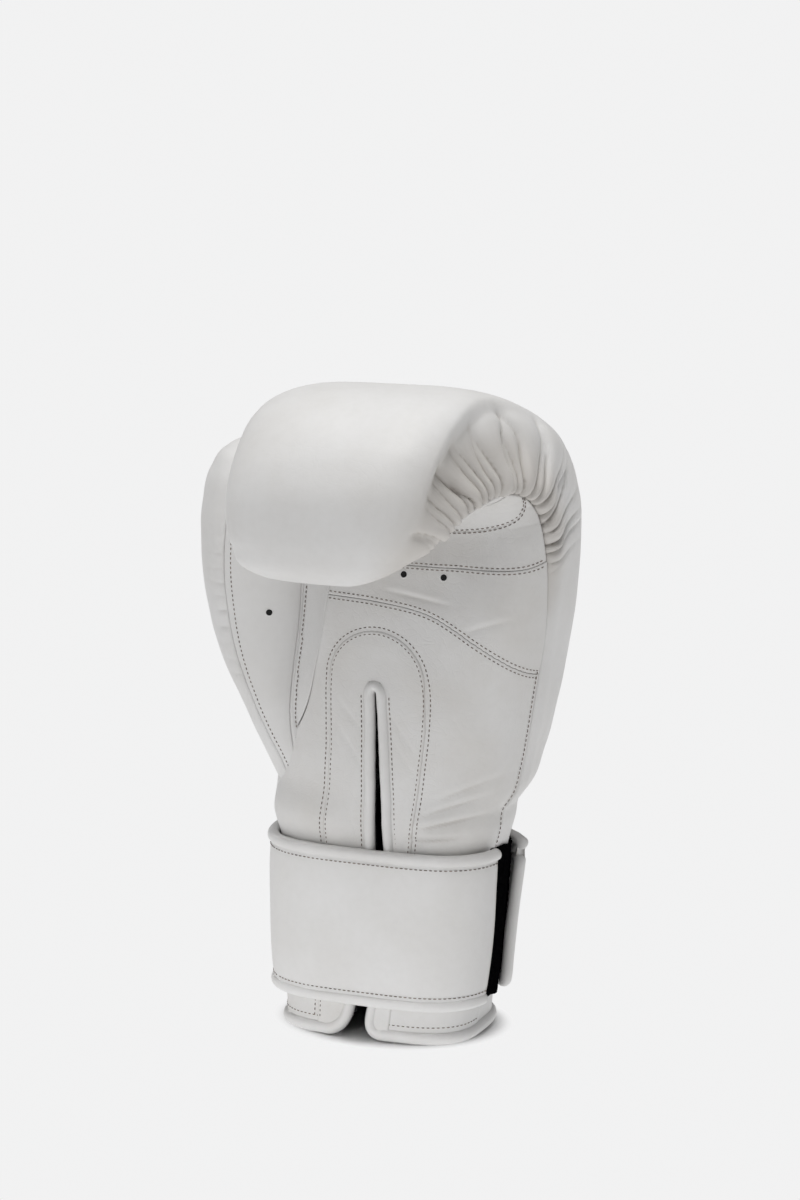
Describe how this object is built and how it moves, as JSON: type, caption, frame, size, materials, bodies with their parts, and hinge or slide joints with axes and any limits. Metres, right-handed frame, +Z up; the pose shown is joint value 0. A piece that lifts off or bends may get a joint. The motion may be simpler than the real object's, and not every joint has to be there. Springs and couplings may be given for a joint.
{
  "type": "boxing glove",
  "caption": "Left-hand padded boxing glove with attached thumb, split cuff and hook and loop wrist strap, standing on its cuff.",
  "frame": {"origin": "middle of the hand opening, on the flat bottom of the rolled hem that the glove stands on", "axes": "+Z up along the forearm and fingers, -Y towards the palm side, +Y towards the back of the hand, -X towards the thumb, +X towards the little finger"},
  "size_m": [0.1664, 0.161, 0.307],
  "materials": {
    "shell_leather": "smooth, semi-matt, fine grain",
    "binding_leather": "smooth, semi-matt, rolled and stitched",
    "padding": "open-cell foam, matt",
    "lining": "woven, matt",
    "webbing": "woven, matt",
    "hook_and_loop": "fuzzy pile and hooks, matt"
  },
  "bodies": {
    "hand": {"back_panel": "shell_leather", "back_foam": "padding", "knuckle_foam": "padding", "hand_lining": "lining", "palm_panel": "shell_leather", "palm_upper_panel": "shell_leather", "palm_crease_panel": "shell_leather", "palm_pad": "padding", "slit_patch": "shell_leather", "slit_binding": "binding_leather", "thumb_gusset": "shell_leather", "cuff_back_panel": "shell_leather", "cuff_foam": "padding", "hem_binding": "binding_leather", "loop_patch": "hook_and_loop", "strap_anchor": "shell_leather"},
    "fingers": {"finger_cover": "shell_leather", "finger_tip_panel": "shell_leather", "finger_inner_panel": "shell_leather", "finger_foam": "padding", "finger_lining": "lining", "grip_bar": "padding"},
    "thumb": {"thumb_back_cover": "shell_leather", "thumb_front_panel": "shell_leather", "thumb_foam": "padding", "thumb_lining": "lining"},
    "strap_palm": {"strap_palm_panel": "shell_leather", "strap_palm_core": "webbing", "strap_palm_binding": "binding_leather"},
    "strap_side": {"strap_side_panel": "shell_leather", "strap_side_core": "webbing", "strap_side_binding": "binding_leather"},
    "strap_tail": {"strap_tail_panel": "shell_leather", "strap_tail_core": "webbing", "strap_tail_binding": "binding_leather", "hook_patch": "hook_and_loop"}
  },
  "joints": [
    {"name": "strap_root", "type": "hinge", "parent": "hand", "child": "strap_palm", "pos_m": [0.0582, -0.0294, 0.0555], "axis": [0, 0, 1], "range_deg": [0, 30]},
    {"name": "strap_wrap", "type": "hinge", "parent": "strap_palm", "child": "strap_side", "pos_m": [-0.051, -0.0271, 0.0555], "axis": [0, 0, 1], "range_deg": [0, 90]},
    {"name": "strap_peel", "type": "hinge", "parent": "strap_side", "child": "strap_tail", "pos_m": [-0.045, 0.0281, 0.0555], "axis": [0, 0, 1], "range_deg": [0, 90]},
    {"name": "thumb_flex", "type": "hinge", "parent": "hand", "child": "thumb", "pos_m": [-0.052, -0.013, 0.128], "axis": [0, -1, 0], "range_deg": [0, 6], "stiffness_Nm_per_rad": 0.8},
    {"name": "finger_flex", "type": "hinge", "parent": "hand", "child": "fingers", "pos_m": [0.015, -0.036, 0.307], "axis": [-1, 0, 0], "range_deg": [0, 12], "stiffness_Nm_per_rad": 2}
  ],
  "couplings": [
    {"joint": "strap_wrap", "follows": "strap_peel", "ratio": 1},
    {"joint": "strap_root", "follows": "strap_peel", "ratio": 0.3333}
  ]
}
